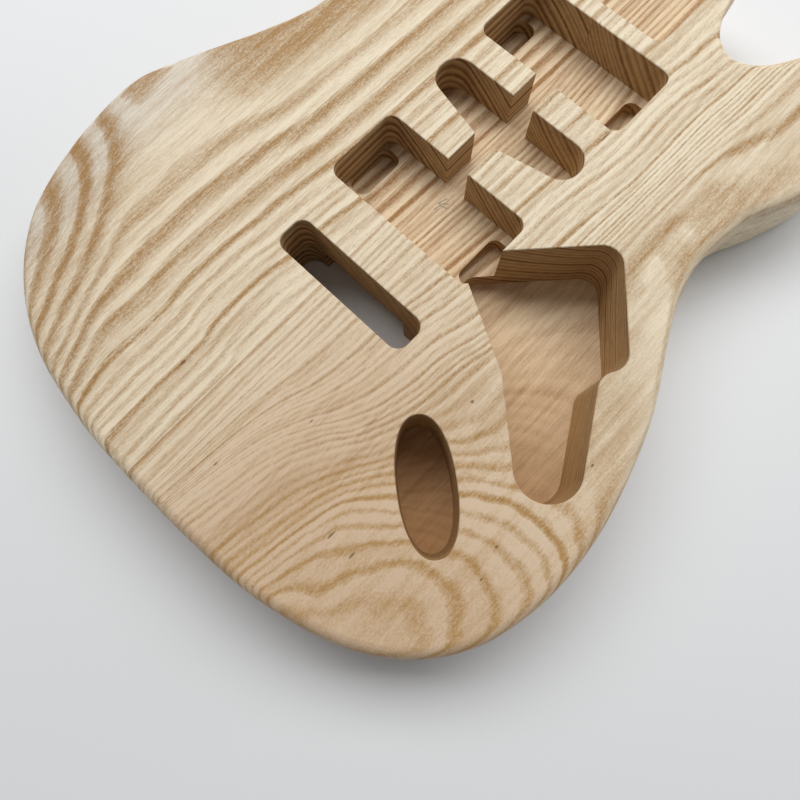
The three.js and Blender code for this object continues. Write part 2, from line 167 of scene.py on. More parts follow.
# Edge of the body, as shares of the width from the centre line and of the length from the tail
OUTLINE_SHARES = (
    (-0.123, 0.878), (-0.133, 0.861), (-0.15, 0.847), (-0.175, 0.842), (-0.202, 0.85),
    (-0.23, 0.873), (-0.256, 0.908), (-0.281, 0.948), (-0.306, 0.981), (-0.345, 1), (-0.39, 0.991),
    (-0.43, 0.96), (-0.462, 0.912), (-0.48, 0.855), (-0.483, 0.8), (-0.47, 0.735), (-0.438, 0.668),
    (-0.4, 0.608), (-0.372, 0.553), (-0.372, 0.5), (-0.4, 0.44), (-0.446, 0.367), (-0.486, 0.295),
    (-0.5, 0.225), (-0.493, 0.162), (-0.472, 0.113), (-0.424, 0.0695), (-0.351, 0.034),
    (-0.26, 0.0115), (-0.15, 0.0028), (-0.02, 0), (0.103, 0.0014), (0.2265, 0.0094),
    (0.35, 0.0359), (0.4235, 0.0713), (0.47, 0.116), (0.492, 0.1637), (0.5, 0.215),
    (0.4914, 0.2839), (0.4493, 0.386), (0.3937, 0.4628), (0.368, 0.502), (0.355, 0.543),
    (0.357, 0.578), (0.3661, 0.6176), (0.3846, 0.6452), (0.4074, 0.6844), (0.4234, 0.7226),
    (0.4295, 0.766), (0.424, 0.812), (0.403, 0.857), (0.372, 0.89), (0.34, 0.903), (0.309, 0.895),
    (0.288, 0.87), (0.27, 0.835), (0.247, 0.8), (0.217, 0.772), (0.183, 0.7595), (0.151, 0.768),
    (0.128, 0.791), (0.115, 0.822), (0.107, 0.872),
)

# Corners of the control cavity, as shares of its width and length, each with its radius
CONTROL_CORNER_SHARES = (
    (0, 0.545, CONTROL_CORNER),
    (0.464, 0.308, CONTROL_END_CORNER),
    (0.824, 0, CONTROL_END_CORNER),
    (1, 0.135, CONTROL_END_CORNER),
    (0.739, 0.547, CONTROL_CORNER),
    (0.807, 0.64, CONTROL_CORNER),
    (0.461, 1, CONTROL_CORNER),
)

# Stations that follow from the sizes
MOUTH_Y = TAIL_Y + OUTLINE_SHARES[0][1] * LENGTH
POCKET_END_Y = MOUTH_Y - POCKET_LENGTH
NECK_ROUTE_Y = POCKET_END_Y - NECK_ROUTE_TO_POCKET
MIDDLE_ROUTE_Y = NECK_ROUTE_Y - WIDE_ROUTE_LENGTH - MIDDLE_TO_NECK_ROUTE
BRIDGE_ROUTE_Y = MIDDLE_ROUTE_Y - BRIDGE_TO_MIDDLE_ROUTE
SLOT_Y = BRIDGE_ROUTE_Y - WIDE_ROUTE_LENGTH - SLOT_TO_BRIDGE_ROUTE
CONTROL_LEFT_X = ROUTE_SPAN / 2 - CONTROL_INTO_ROUTE
CONTROL_TAIL_Y = BRIDGE_ROUTE_Y + CONTROL_PAST_ROUTE - CONTROL_LENGTH
JACK_CENTRE = Vector((JACK_FROM_CENTRE_LINE, TAIL_Y + JACK_FROM_TAIL))

# Material slots of each board: sanded outside, walls left by the cutter, floors left by the cutter
SANDED, WALL, FLOOR = range(3)


def on_body(share):
    return Vector((share[0] * WIDTH, TAIL_Y + share[1] * LENGTH))


def turn_between(before, here, after):
    """The signed turn at here, anticlockwise positive."""
    return -(here - before).angle_signed(after - here, 0)


# Outlines


def edge_curve(anchors):
    """A centripetal Catmull-Rom curve through the anchors, thinned to a point at each set turn."""
    ends = [2 * anchors[0] - anchors[1], *anchors, 2 * anchors[-1] - anchors[-2]]
    fine = []
    for i in range(1, len(ends) - 2):
        a, b, c, d = ends[i - 1:i + 3]
        gaps = [math.sqrt((q - p).length) for p, q in ((a, b), (b, c), (c, d))]
        leave = (b - a) / gaps[0] - (c - a) / (gaps[0] + gaps[1]) + (c - b) / gaps[1]
        arrive = (c - b) / gaps[1] - (d - b) / (gaps[1] + gaps[2]) + (d - c) / gaps[2]
        leave, arrive = leave * gaps[1], arrive * gaps[1]
        for step in range(CURVE_STEPS):
            t = step / CURVE_STEPS
            fine.append(
                b + leave * t
                + (3 * (c - b) - 2 * leave - arrive) * t**2
                + (2 * (b - c) + leave + arrive) * t**3
            )
    fine.append(anchors[-1])
    kept, turned = [fine[0]], 0
    for before, here, after in zip(fine, fine[1:], fine[2:]):
        turned += turn_between(before, here, after)
        if (after - kept[-1]).length > LONGEST_FACET or abs(turned) > FACET_TURN:
            kept.append(here)
            turned = 0
    return [*kept, fine[-1]]


def fitted_to_body(points):
    """Stretches the outline so that its own box is exactly the body's."""
    low = Vector(map(min, *points))
    high = Vector(map(max, *points))
    middle = (low + high) / 2
    scale = Vector((WIDTH / (high.x - low.x), LENGTH / (high.y - low.y)))
    return [(p - middle) * scale for p in points]


def inward_ways(points):
    """For each point of an anticlockwise outline, the move that insets both its edges by one."""
    ways = []
    for i, here in enumerate(points):
        before = (here - points[i - 1]).normalized()
        after = (points[(i + 1) % len(points)] - here).normalized()
        across = Vector((-before.y - after.y, before.x + after.x))
        ways.append(across / (1 + before.dot(after)))
    return ways


def rounded_outline(corners):
    """A closed outline with each corner (x, y, radius) rounded, as far as its edges leave room."""
    points = [Vector(c[:2]) for c in corners]
    count = len(points)
    turns = [turn_between(points[i - 1], points[i], points[(i + 1) % count]) for i in range(count)]
    runs = [c[2] * math.tan(abs(turn) / 2) for c, turn in zip(corners, turns)]
    room = []
    for i in range(count):
        after = (i + 1) % count
        wanted = runs[i] + runs[after]
        room.append((points[after] - points[i]).length / wanted if wanted else 1)
    outline = []
    for i, here in enumerate(points):
        fit = min(1, room[i], room[i - 1])
        back = (points[i - 1] - here).normalized()
        ahead = (points[(i + 1) % count] - here).normalized()
        start = here + back * runs[i] * fit
        centre = here + (back + ahead).normalized() * corners[i][2] * fit / math.cos(turns[i] / 2)
        steps = max(1, math.ceil(abs(turns[i]) / ARC_TURN)) if runs[i] else 0
        for step in range(steps + 1):
            turn = Matrix.Rotation(turns[i] * step / steps if steps else 0, 2)
            outline.append(centre + turn @ (start - centre))
    return outline


def rectangle(left, right, tail, neck, corner):
    return rounded_outline([
        (left, tail, corner), (right, tail, corner), (right, neck, corner), (left, neck, corner),
    ])


def oval(centre, length, width, angle, fullness):
    """A super-ellipse: fullness 2 is an ellipse, more is squarer."""
    steps = math.ceil(2 * math.pi / ARC_TURN)
    turned = Matrix.Rotation(angle, 2)
    points = []
    for step in range(steps):
        way = 2 * math.pi * step / steps
        c, s = math.cos(way), math.sin(way)
        across = Vector((
            math.copysign(abs(c) ** (2 / fullness), c) * length / 2,
            math.copysign(abs(s) ** (2 / fullness), s) * width / 2,
        ))
        points.append(centre + turned @ across)
    return points


# Blank


class Contour:
    """A slope that leaves a face past a crease, with the crease itself blended round."""

    def __init__(self, angle, blend, past, way_out):
        self.slope = math.tan(angle)
        self.blend = blend
        self.past = past
        self.way_out = way_out

    def depth(self, point):
        past = self.past(point)
        if past <= -self.blend:
            return 0
        if past >= self.blend:
            return self.slope * past
        return self.slope * (past + self.blend) ** 2 / (4 * self.blend)

    def run_out(self, point):
        """The place straight up the slope where the contour ends, or the point itself."""
        return point + self.way_out(point) * max(0, self.past(point) + self.blend)


def arm_bevel():
    start, end = map(on_body, ARM_CREASE_SHARES)
    along = (end - start).normalized()
    inwards = Vector((along.y, -along.x))
    return Contour(
        ARM_BEVEL_ANGLE, ARM_BEVEL_BLEND, lambda p: (start - p).dot(inwards), lambda p: inwards,
    )


def rib_scoop():
    centre = on_body(RIB_SCOOP_CENTRE_SHARES)
    return Contour(
        RIB_SCOOP_ANGLE, RIB_SCOOP_BLEND, lambda p: RIB_SCOOP_RADIUS - (p - centre).length,
        lambda p: (p - centre).normalized(),
    )


def edge_round(point):
    """The edge's radius, which fades to a mere break beside the neck pocket."""
    away = (point - Vector((0, MOUTH_Y))).length
    share = min(1, max(0, (away - EDGE_FADE_START) / (EDGE_FADE_END - EDGE_FADE_START)))
    return EDGE_BREAK + (EDGE_ROUND - EDGE_BREAK) * share**2 * (3 - 2 * share)


def face_rings(points, contour):
    """Rings from the wall inwards over one face, each a list of (x, y, depth below that face)."""
    ways = inward_ways(points)
    rounds = [edge_round(p) for p in points]

    def inset(share):
        return [p + way * r * share for p, way, r in zip(points, ways, rounds)]

    def lowered(places, share):
        return [(p.x, p.y, contour.depth(p) + r * share) for p, r in zip(places, rounds)]

    rings = []
    for step in range(ROUND_STEPS + 1):
        turn = math.pi / 2 * step / ROUND_STEPS
        rings.append(lowered(inset(1 - math.cos(turn)), 1 - math.sin(turn)))
    innermost = inset(1)
    ends = [contour.run_out(p) for p in innermost]
    for step in range(1, CREASE_RINGS + 1):
        share = step / CREASE_RINGS
        rings.append(lowered([p.lerp(end, share) for p, end in zip(innermost, ends)], 0))
    return rings


def skinned(mesh, rings, low_slot=SANDED, wall_slots=None, high_slot=SANDED):
    """Closes a stack of anticlockwise rings, lowest first, into one body with a cap at each end."""
    for slot, ring in ((low_slot, rings[0][::-1]), (high_slot, rings[-1])):
        mesh.faces.new(ring).material_index = slot
    for level, (below, above) in enumerate(zip(rings, rings[1:])):
        for i in range(len(below)):
            face = mesh.faces.new((below[i - 1], below[i], above[i], above[i - 1]))
            face.material_index = wall_slots[level] if wall_slots else SANDED


def body_blank():
    points = fitted_to_body(edge_curve([on_body(share) for share in OUTLINE_SHARES]))
    back = face_rings(points, rib_scoop())[::-1]
    top = [[(x, y, TOP - drop) for x, y, drop in ring] for ring in face_rings(points, arm_bevel())]
    mesh = bmesh.new()
    skinned(mesh, [[mesh.verts.new(corner) for corner in ring] for ring in back + top])
    bmesh.ops.remove_doubles(mesh, verts=mesh.verts, dist=WELD)
    bmesh.ops.dissolve_degenerate(mesh, edges=mesh.edges, dist=WELD)
    return as_object("blank", mesh)


def as_object(name, mesh):
    data = bpy.data.meshes.new(name)
    mesh.to_mesh(data)
    mesh.free()
    made = bpy.data.objects.new(name, data)
    bpy.context.scene.collection.objects.link(made)
    return made


# Cutters


def cutter(outline, low, high, eased_low=False, eased_high=False):
    """A prism whose mouth opens out by a hair where it breaks the body's face."""
    ways = inward_ways(outline)
    levels = [(low, 0), (high, 0)]
    if eased_low:
        levels[:1] = [(-OVERRUN, EASE + OVERRUN), (EASE, 0)]
    if eased_high:
        levels[-1:] = [(TOP - EASE, 0), (TOP + OVERRUN, EASE + OVERRUN)]
    mesh = bmesh.new()
    rings = [
        [mesh.verts.new((*(p - w * out), z)) for p, w in zip(outline, ways)] for z, out in levels
    ]
    slots = [WALL if above[1] == below[1] else SANDED for below, above in zip(levels, levels[1:])]
    skinned(mesh, rings, FLOOR, slots, FLOOR)
    return as_object("cutter", mesh)


def from_top(outline, depth):
    return cutter(outline, TOP - depth, TOP, eased_high=True)


def from_back(outline, depth):
    return cutter(outline, 0, depth, eased_low=True)


def drilled(start, end, diameter):
    way = end - start
    turned = way.to_track_quat("Z", "Y").to_matrix().to_4x4()
    mesh = bmesh.new()
    bmesh.ops.create_cone(
        mesh, cap_ends=True, segments=DRILL_SIDES, radius1=diameter / 2, radius2=diameter / 2,
        depth=way.length, matrix=Matrix.Translation((start + end) / 2) @ turned,
    )
    for face in mesh.faces:
        face.material_index = WALL
    return as_object("drill", mesh)


def neck_pocket():
    half = POCKET_WIDTH / 2
    past = MOUTH_Y + OVERRUN
    outline = rounded_outline([
        (-half, POCKET_END_Y, POCKET_CORNER), (half, POCKET_END_Y, POCKET_CORNER),
        (half, past, 0), (-half, past, 0),
    ])
    cutters = [from_top(outline, POCKET_DEPTH)]
    middle = POCKET_END_Y + POCKET_LENGTH / 2
    floor = TOP - POCKET_DEPTH
    for side in (-1, 1):
        for end in (-1, 1):
            x = side * NECK_SCREW_SPACING.x / 2
            y = middle + end * NECK_SCREW_SPACING.y / 2
            low, high = Vector((x, y, -OVERRUN)), Vector((x, y, floor + OVERRUN))
            cutters.append(drilled(low, high, NECK_SCREW_HOLE))
    return cutters


def wide_route(neck_wall):
    half = ROUTE_SPAN / 2
    tail_wall = neck_wall - WIDE_ROUTE_LENGTH
    ear_tail = tail_wall + EAR_FROM_TAIL_WALL
    cutters = [from_top(rectangle(-half, half, tail_wall, neck_wall, ROUTE_CORNER), ROUTE_DEPTH)]
    for left in (-half, half - EAR_WIDTH):
        ear = rectangle(left, left + EAR_WIDTH, ear_tail, ear_tail + EAR_LENGTH, EAR_CORNER)
        cutters.append(cutter(ear, TOP - EAR_DEPTH, TOP))
    return cutters


def narrow_route(neck_wall):
    half = ROUTE_SPAN / 2
    end_tail = neck_wall - NARROW_ROUTE_LENGTH
    return [from_top(rounded_outline([
        (-half, end_tail, NARROW_ROUTE_END), (0, end_tail - NARROW_ROUTE_POINT, 0),
        (half, end_tail, NARROW_ROUTE_END), (half, neck_wall, NARROW_ROUTE_END),
        (-half, neck_wall, NARROW_ROUTE_END),
    ]), ROUTE_DEPTH)]


def wiring_channel():
    tail = BRIDGE_ROUTE_Y - WIDE_ROUTE_LENGTH / 2
    neck = NECK_ROUTE_Y - WIDE_ROUTE_LENGTH / 2
    return [from_top(rectangle(-CHANNEL_WIDTH / 2, CHANNEL_WIDTH / 2, tail, neck, 0), ROUTE_DEPTH)]


def on_control(x, y):
    return CONTROL_LEFT_X + x * CONTROL_WIDTH, CONTROL_TAIL_Y + y * CONTROL_LENGTH


def control_cavity():
    corners = [(*on_control(x, y), radius) for x, y, radius in CONTROL_CORNER_SHARES]
    return [from_top(rounded_outline(corners), CONTROL_DEPTH)]


def jack_recess():
    outline = oval(JACK_CENTRE, JACK_LENGTH, JACK_WIDTH, JACK_ANGLE, JACK_FULLNESS)
    return [from_top(outline, JACK_DEPTH)]


def slot_and_spring_cavity():
    slot = rectangle(
        SLOT_OFFSET - SLOT_WIDTH / 2, SLOT_OFFSET + SLOT_WIDTH / 2, SLOT_Y - SLOT_LENGTH, SLOT_Y,
        SLOT_CORNER,
    )
    pocket = rectangle(
        SLOT_OFFSET - BLOCK_POCKET_WIDTH / 2, SLOT_OFFSET + BLOCK_POCKET_WIDTH / 2,
        SLOT_Y - BLOCK_POCKET_LENGTH, SLOT_Y, SPRING_CAVITY_CORNER,
    )
    springs = rectangle(
        -SPRING_CAVITY_WIDTH / 2, SPRING_CAVITY_WIDTH / 2, SLOT_Y - BLOCK_POCKET_LENGTH / 2,
        SLOT_Y + SPRING_CAVITY_LENGTH, SPRING_CAVITY_CORNER,
    )
    return [
        cutter(slot, -OVERRUN, TOP, eased_high=True),
        from_back(pocket, SPRING_CAVITY_DEPTH),
        from_back(springs, SPRING_CAVITY_DEPTH),
    ]


def wire_holes():
    level = TOP - CONTROL_DEPTH + WIRE_HOLE_RISE
    near_jack, in_control = JACK_HOLE_SHARES
    across = Vector((near_jack[0] * JACK_LENGTH / 2, near_jack[1] * JACK_WIDTH / 2))
    jack_end = Vector((*(JACK_CENTRE + Matrix.Rotation(JACK_ANGLE, 2) @ across), level))
    control_end = Vector((*on_control(*in_control), level))
    earth = Vector(on_control(*EARTH_HOLE_SHARES))
    spring_x = SPRING_CAVITY_WIDTH / 2 - OVERRUN
    spring_y = earth.y - (earth.x - spring_x) * EARTH_HOLE_SLANT
    spring_level = SPRING_CAVITY_DEPTH - WIRE_HOLE_RISE / 2
    return [
        drilled(jack_end, control_end, JACK_WIRE_HOLE),
        drilled(
            Vector((spring_x, spring_y, spring_level)), Vector((*earth, spring_level)),
            EARTH_WIRE_HOLE,
        ),
    ]


# Boards


def boolean(target, tool, operation):
    """Cuts the target with the tool, which is used up."""
    made = target.modifiers.new(operation.lower(), "BOOLEAN")
    made.operation = operation
    made.object = tool
    made.solver = "MANIFOLD"
    bpy.context.view_layer.update()
    evaluated = target.evaluated_get(bpy.context.evaluated_depsgraph_get())
    result = bpy.data.meshes.new_from_object(evaluated)
    target.modifiers.clear()
    target.data = result
    bpy.data.objects.remove(tool)


def half_space(left, right):
    mesh = bmesh.new()
    size = Matrix.Diagonal((right - left, LENGTH + 2 * OVERRUN, TOP + 2 * OVERRUN, 1))
    middle = Matrix.Translation(((left + right) / 2, 0, TOP / 2))
    bmesh.ops.create_cube(mesh, size=1, matrix=middle @ size)
    return as_object("half", mesh)


def routed_board(name, left, right, materials):
    """One board: the blank between two planes, less every route."""
    made = body_blank()
    for finish in materials:
        made.data.materials.append(finish)
    tools = [
        *neck_pocket(), *wide_route(NECK_ROUTE_Y), *narrow_route(MIDDLE_ROUTE_Y),
        *wide_route(BRIDGE_ROUTE_Y), *wiring_channel(), *control_cavity(), *jack_recess(),
        *slot_and_spring_cavity(), *wire_holes(),
    ]
    for tool in tools:
        for finish in materials:
            tool.data.materials.append(finish)
        boolean(made, tool, "DIFFERENCE")
    half = half_space(left, right)
    half.data.materials.append(materials[SANDED])
    boolean(made, half, "INTERSECT")
    made.name = name
    made.data.name = name
    made.data.shade_smooth()
    made.data.set_sharp_from_angle(angle=SHARP)
    smooth = made.modifiers.new("flat faces stay flat", "WEIGHTED_NORMAL")
    smooth.keep_sharp = True
    smooth.weight = FLAT_FACE_WEIGHT
    return made


# Formulas in a node tree

# Sockets of a mix node when it mixes colours: share, first colour, second colour, result
MIX_COLOUR_INPUTS = (0, 6, 7)
MIX_COLOUR_OUTPUT = 2


class Field:
    """A node socket that takes part in sums and products, so that a pattern reads as a formula."""

    def __init__(self, tree, socket):
        self.tree = tree
        self.socket = socket

    def math(self, operation, *others):
        node = self.tree.nodes.new("ShaderNodeMath")
        node.operation = operation
        for slot, value in zip(node.inputs, (self, *others)):
            feed(self.tree, slot, value)
        return Field(self.tree, node.outputs[0])

    def __add__(self, other):
        return self.math("ADD", other)

    def __sub__(self, other):
        return self.math("SUBTRACT", other)

    def __rsub__(self, other):
        return (self * -1) + other

    def __mul__(self, other):
        return self.math("MULTIPLY", other)

    def __truediv__(self, other):
        return self.math("DIVIDE", other)

    __radd__ = __add__

    def step(self, start, end):
        """Goes smoothly from 0 to 1 as the value goes from start to end."""
        node = self.tree.nodes.new("ShaderNodeMapRange")
        node.interpolation_type = "SMOOTHSTEP"
        for slot, value in zip(node.inputs, (self, start, end)):
            feed(self.tree, slot, value)
        return Field(self.tree, node.outputs[0])

    def fade(self, start, end):
        """Goes smoothly from 1 to 0 as the value goes from start to end."""
        return 1 - self.step(start, end)

    def clamped(self):
        return self.math("MAXIMUM", 0.0).math("MINIMUM", 1.0)

    def curve(self, points):
        """Looks the value up in a smooth curve through (value, result) points."""
        values = [p[0] for p in points]
        results = [p[1] for p in points]
        low, high = min(values), max(values)
        least, most = min(results), max(results)
        node = self.tree.nodes.new("ShaderNodeFloatCurve")
        line = node.mapping.curves[0]
        while len(line.points) < len(points):
            line.points.new(0.5, 0.5)
        for spot, (value, result) in zip(line.points, points):
            spot.location = ((value - low) / (high - low), (result - least) / (most - least))
        node.mapping.update()
        feed(self.tree, node.inputs["Value"], (self - low) / (high - low))
        return Field(self.tree, node.outputs[0]) * (most - least) + least

    def mix(self, low, high):
        """The colour low where the value is 0, high where it is 1."""
        node = self.tree.nodes.new("ShaderNodeMix")
        node.data_type = "RGBA"
        for slot, value in zip(MIX_COLOUR_INPUTS, (self, low, high)):
            feed(self.tree, node.inputs[slot], value)
        return Field(self.tree, node.outputs[MIX_COLOUR_OUTPUT])


def feed(tree, slot, value):
    if isinstance(value, Field):
        tree.links.new(value.socket, slot)
    else:
        slot.default_value = value


def joined(x, y, z):
    node = x.tree.nodes.new("ShaderNodeCombineXYZ")
    for slot, value in zip(node.inputs, (x, y, z)):
        feed(x.tree, slot, value)
    return Field(x.tree, node.outputs[0])


def noise(name, x, y, z):
    """One of the wood's soft patterns, drawn out along the grain, 0 on average."""
    across, along, detail, roughness = GRAIN_NOISE[name]
    node = x.tree.nodes.new("ShaderNodeTexNoise")
    feed(x.tree, node.inputs["Vector"], joined(x * across, y * along, z * across))
    node.inputs["Scale"].default_value = 1
    node.inputs["Detail"].default_value = detail
    node.inputs["Roughness"].default_value = roughness
    return Field(x.tree, node.outputs[0]) - 0.5


def one_draw(number):
    """A random share from 0 to 1, the same wherever the number is the same."""
    node = number.tree.nodes.new("ShaderNodeTexWhiteNoise")
    node.noise_dimensions = "1D"
    feed(number.tree, node.inputs["W"], number)
    return Field(number.tree, node.outputs[0])


def linear(code):
    """A web colour as a linear RGBA value."""
    shares = [int(code[i:i + 2], 16) / 255 for i in (0, 2, 4)]
    return (*(s / 12.92 if s <= 0.04045 else ((s + 0.055) / 1.055) ** 2.4 for s in shares), 1)


# Ash: the rings of each board's log, in millimetres from the body's origin

TREBLE_PITH_ABOVE = (
    (-230, 49), (-205, 57.5), (-187, 60), (-170, 63.3), (-154, 68.2), (-140, 72.5), (-127, 78),
    (-113, 83.5), (-95, 87), (-62, 88), (-15, 90.5), (230, 92),
)
TREBLE_PITH_X = (
    (-230, 110), (-205, 118), (-187, 121), (-170, 125), (-154, 131.5), (-140, 136), (-127, 137.5),
    (-113, 139.5), (-95, 137), (-62, 126.5), (-15, 113.5), (30, 103), (60, 108), (80, 116),
    (110, 125), (230, 131),
)
TREBLE_LEAN = (
    (-230, -38), (-205, -34), (-180, -29), (-160, -20), (-140, -7.8), (-117, -0.7), (-97, 1),
    (-71, 7.8), (-40, 12), (0, 16), (45, 25), (70, 24), (110, 33), (230, 40),
)
TREBLE_LINES = (
    (-15, 39), (8.5, 31), (20, 28), (30.8, 25), (40, 22), (51, 19), (58.7, 17), (68.4, 14),
    (83.5, 10.26), (110, 3),
)
BASS_PITH_BELOW = (
    (-225, 156), (-195, 154.3), (-135, 152), (-105, 152.7), (-40, 150.5), (230, 150),
)
BASS_PITH_X = (
    (-225, -112.5), (-195, -117.5), (-165, -121), (-135, -125), (-105, -121.5), (230, -116),
)
BASS_LINES = (
    (105, 0), (141.4, 9), (149.1, 11), (153.8, 12), (157.4, 13), (161.9, 14), (167.3, 15),
    (170.9, 16), (174, 17), (179.1, 19), (188.7, 22),
)

# Rings about the treble pith: the first one's radius, and how they crowd together further out
ARCH_FIRST_RADIUS = 55
ARCH_CROWDING = 188
ARCH_COUNT = 42.7

# Where the treble board's straight lines lean, and where its arches take over from them
LEAN_START = 6
LEAN_REACH = 52
ARCHES_FROM_LINES = (62, 92)
ARCHES_PAST_PITH = (-20, 0)
ARCHES_PAST_PITH_DEPTH = (4, 16)


def treble_rings(x, y, z):
    """Ring numbers about a pith above the board, which straighten beside the glue line."""
    depth = TOP / MM - z
    pith = y.curve(TREBLE_PITH_X)
    above = y.curve(TREBLE_PITH_ABOVE)
    across = x - pith
    away = above + depth
    square = across * across + away * away
    growth = ((square.math("SQRT") - ARCH_FIRST_RADIUS) / ARCH_CROWDING).math("EXPONENT")
    arch = growth * ARCH_COUNT - ARCH_COUNT
    at_top = pith - (square - above * above).math("MAXIMUM", 0.0).math("SQRT")
    lean = y.curve(TREBLE_LEAN)
    reach = ((at_top - LEAN_START) / (lean / LEAN_REACH + 1) / LEAN_REACH).clamped()
    flank = (at_top - reach * lean).curve(TREBLE_LINES)
    beyond = across.step(*ARCHES_PAST_PITH) * depth.fade(*ARCHES_PAST_PITH_DEPTH)
    arched = at_top.step(*ARCHES_FROM_LINES).math("MAXIMUM", beyond)
    return flank + (arch - flank) * arched


def bass_rings(x, y, z):
    """Ring numbers about a pith below the board."""
    across = x - y.curve(BASS_PITH_X)
    away = y.curve(BASS_PITH_BELOW) - (TOP / MM - z)
    return (across * across + away * away).math("SQRT").curve(BASS_LINES)


# Each board's log: its rings, the bold ones, how far they wander, how strong its tint towards the
# tail is, partly heartwood and partly painted shade
LOGS = {
    "bass": {
        "rings": bass_rings, "bold": (9, 10, 11, 12, 13, 14, 15, 19),
        "wander": 1.6, "heart_and_shade": 0.4,
    },
    "treble": {
        "rings": treble_rings, "bold": (4, 6, 14, 17, 19, 22, 25, 28, 31),
        "wander": 2.6, "heart_and_shade": 1,
    },
}

# Colours of each finish, and how much its rings, fibres and broad bands darken it
FINISHES = {
    "sanded": {
        "late": "eadcc1", "heart_and_shade": "d4b99b", "early": "a47e4c", "pore": "7c5a38",
        "rings": 0.95, "fibres": 1.2, "broad": 0.35, "roughness": 0.62,
    },
    # Walls: darker and browner than the top, partly the end grain that the cutter leaves, partly
    # painted shade of the cavities
    "routed wall with painted shade": {
        "late": "cbab7c", "heart_and_shade": "c09c6c", "early": "7a532e", "pore": "4c3018",
        "rings": 1.1, "fibres": 0.5, "broad": 0.35, "roughness": 0.75,
    },
    # Floors: the colour towards the tail is darker and browner than the top's, painted shade where
    # the cavities' tail walls shade their floors
    "routed floor": {
        "late": "ecd6b4", "heart_and_shade": "cda070", "early": "a0764a", "pore": "7c5a3c",
        "rings": 1.2, "fibres": 1.0, "broad": 0.7, "roughness": 0.75,
    },
}
BEVEL_COLOUR = "ddd4c4"
ARCHES_COLOUR = "b08a55"
GLUE_COLOUR = "9a6a3a"
FLECK_COLOUR = "5a3c20"
PENCIL_COLOUR = "6a6664"
PAPER_COLOUR = "e6e7e8"

# Noise in the wood: how fine it is across and along the grain, its detail and its roughness
GRAIN_NOISE = {
    "wander": (0.05, 0.02, 3, 0.5),
    "kinks": (0.06, 0.06, 2, 0.5),
    "feather": (0.9, 0.025, 2, 0.5),
    "fine": (2.2, 0.12, 2, 0.6),
    "fibre": (0.9, 0.03, 2, 0.6),
    "streak": (0.28, 0.012, 2, 0.5),
    "speckle": (1.9, 0.8, 1, 0.5),
    "broad": (0.03, 0.006, 2, 0.5),
    "pore": (3.2, 0.22, 1, 0.5),
}

# Zones: the stretch of an axis, in millimetres, over which something fades in or out
ARCHES_TO_Y = (-110, -60)
CALM_FROM_X = (-7, -5)
CALM_TO_X = (30, 90)
CALM_TO_Y = (-190, -50)
WAIST_FROM_X = (100, 130)
WAIST_FROM_Y = (-115, -70)
HEART_AND_SHADE_FROM_X = (-10, 45)
HEART_AND_SHADE_TO_Y = (-175, 0)
BEVEL_TO_X = (-140, -110)
BEVEL_COLOUR_TO_X = (-142, -104)
FLOOR_FROM_Z = (9, 20)
GLUE_LINE_FADE = (0.1, 0.4)

# Flat-sawn wood: the ring numbers over which it ends
FLAT_SAWN_RINGS = (7, 13)

# How far a ring strays from its place, in rings, and what flat-sawn wood changes in that
KINKS, KINKS_FLAT_SAWN = 0.1, 0.7
FEATHER, FEATHER_FLAT_SAWN = 0.26, 0.1

# Shares of a ring: its darkest place, where its early wood ends, and the line that it starts with
EARLY_PEAK = 0.26
EARLY_END, EARLY_END_DRAWN, EARLY_END_FLAT_SAWN = 0.65, 0.35, 0.12
LINE_PEAK, LINE_END = 0.06, 0.2

# Ring numbers closer than this are the same, and draws this far apart have nothing in common
SAME_RING = 0.1
EARLY_END_DRAW = 71.3
CAST_DRAW = 19.7

# Strength of a ring: the least, what is drawn for each, what a bold one adds, what a zone changes
STRENGTH, STRENGTH_DRAWN, STRENGTH_BOLD = 0.3, 0.45, 0.35
CALM, WAIST_CALM, BEVEL_STRENGTH, DEEP_FLOOR_STRENGTH = 0.3, 0.65, 0.15, 0.25

# Tone of plain wood, and how much the rings and each part of the grain darken it
PLAIN_TONE = 0.2
RINGS, RINGS_FLAT_SAWN, LINE = 0.75, 0.3, 0.3
FINE, FIBRE, FIBRES_FLAT_SAWN = 0.75, 0.6, 0.5
STREAK = 0.8
CAST, CAST_CALM = 0.3, 0.4
SPECKLE, SPECKLE_EARLY, SPECKLE_ARCHES = 0.3, 0.7, 0.5

# Tint towards the tail, partly heartwood and partly painted shade: its strength beside the glue
# line, and what is added further out
HEART_AND_SHADE, HEART_AND_SHADE_OUTER = 0.4, 0.6

# Pores: the noise that opens them, how open they are, and what the early wood adds
PORE_STEP = (0.04, 0.24)
PORES, PORES_EARLY = 0.1, 0.8

# How much of the colour below each mark hides, and the surface of the wood
PORE_TINT, GLUE_TINT, FLECK_TINT, PENCIL_TINT = 0.8, 0.55, 0.75, 0.7
SPECULAR = 0.3
BUMP_STRENGTH = 0.08
BUMP_DISTANCE = 0.1 * MM

# Pin knots and flecks on the top: place, half length along the grain, half width
FLECKS = (
    (-24.5, -177.4, 2.0, 0.8), (82.4, -101.2, 1.0, 0.8), (77.8, -184.4, 2.6, 0.5),
    (89.9, -184.4, 2.2, 0.5), (37, -156, 1.2, 0.4), (20, -198, 1.4, 0.4), (131.2, -140.1, 0.9, 0.5),
    (135.3, -154.2, 0.8, 0.5), (138.3, -86.7, 1.0, 0.6), (41.5, 40, 3.5, 0.4),
)

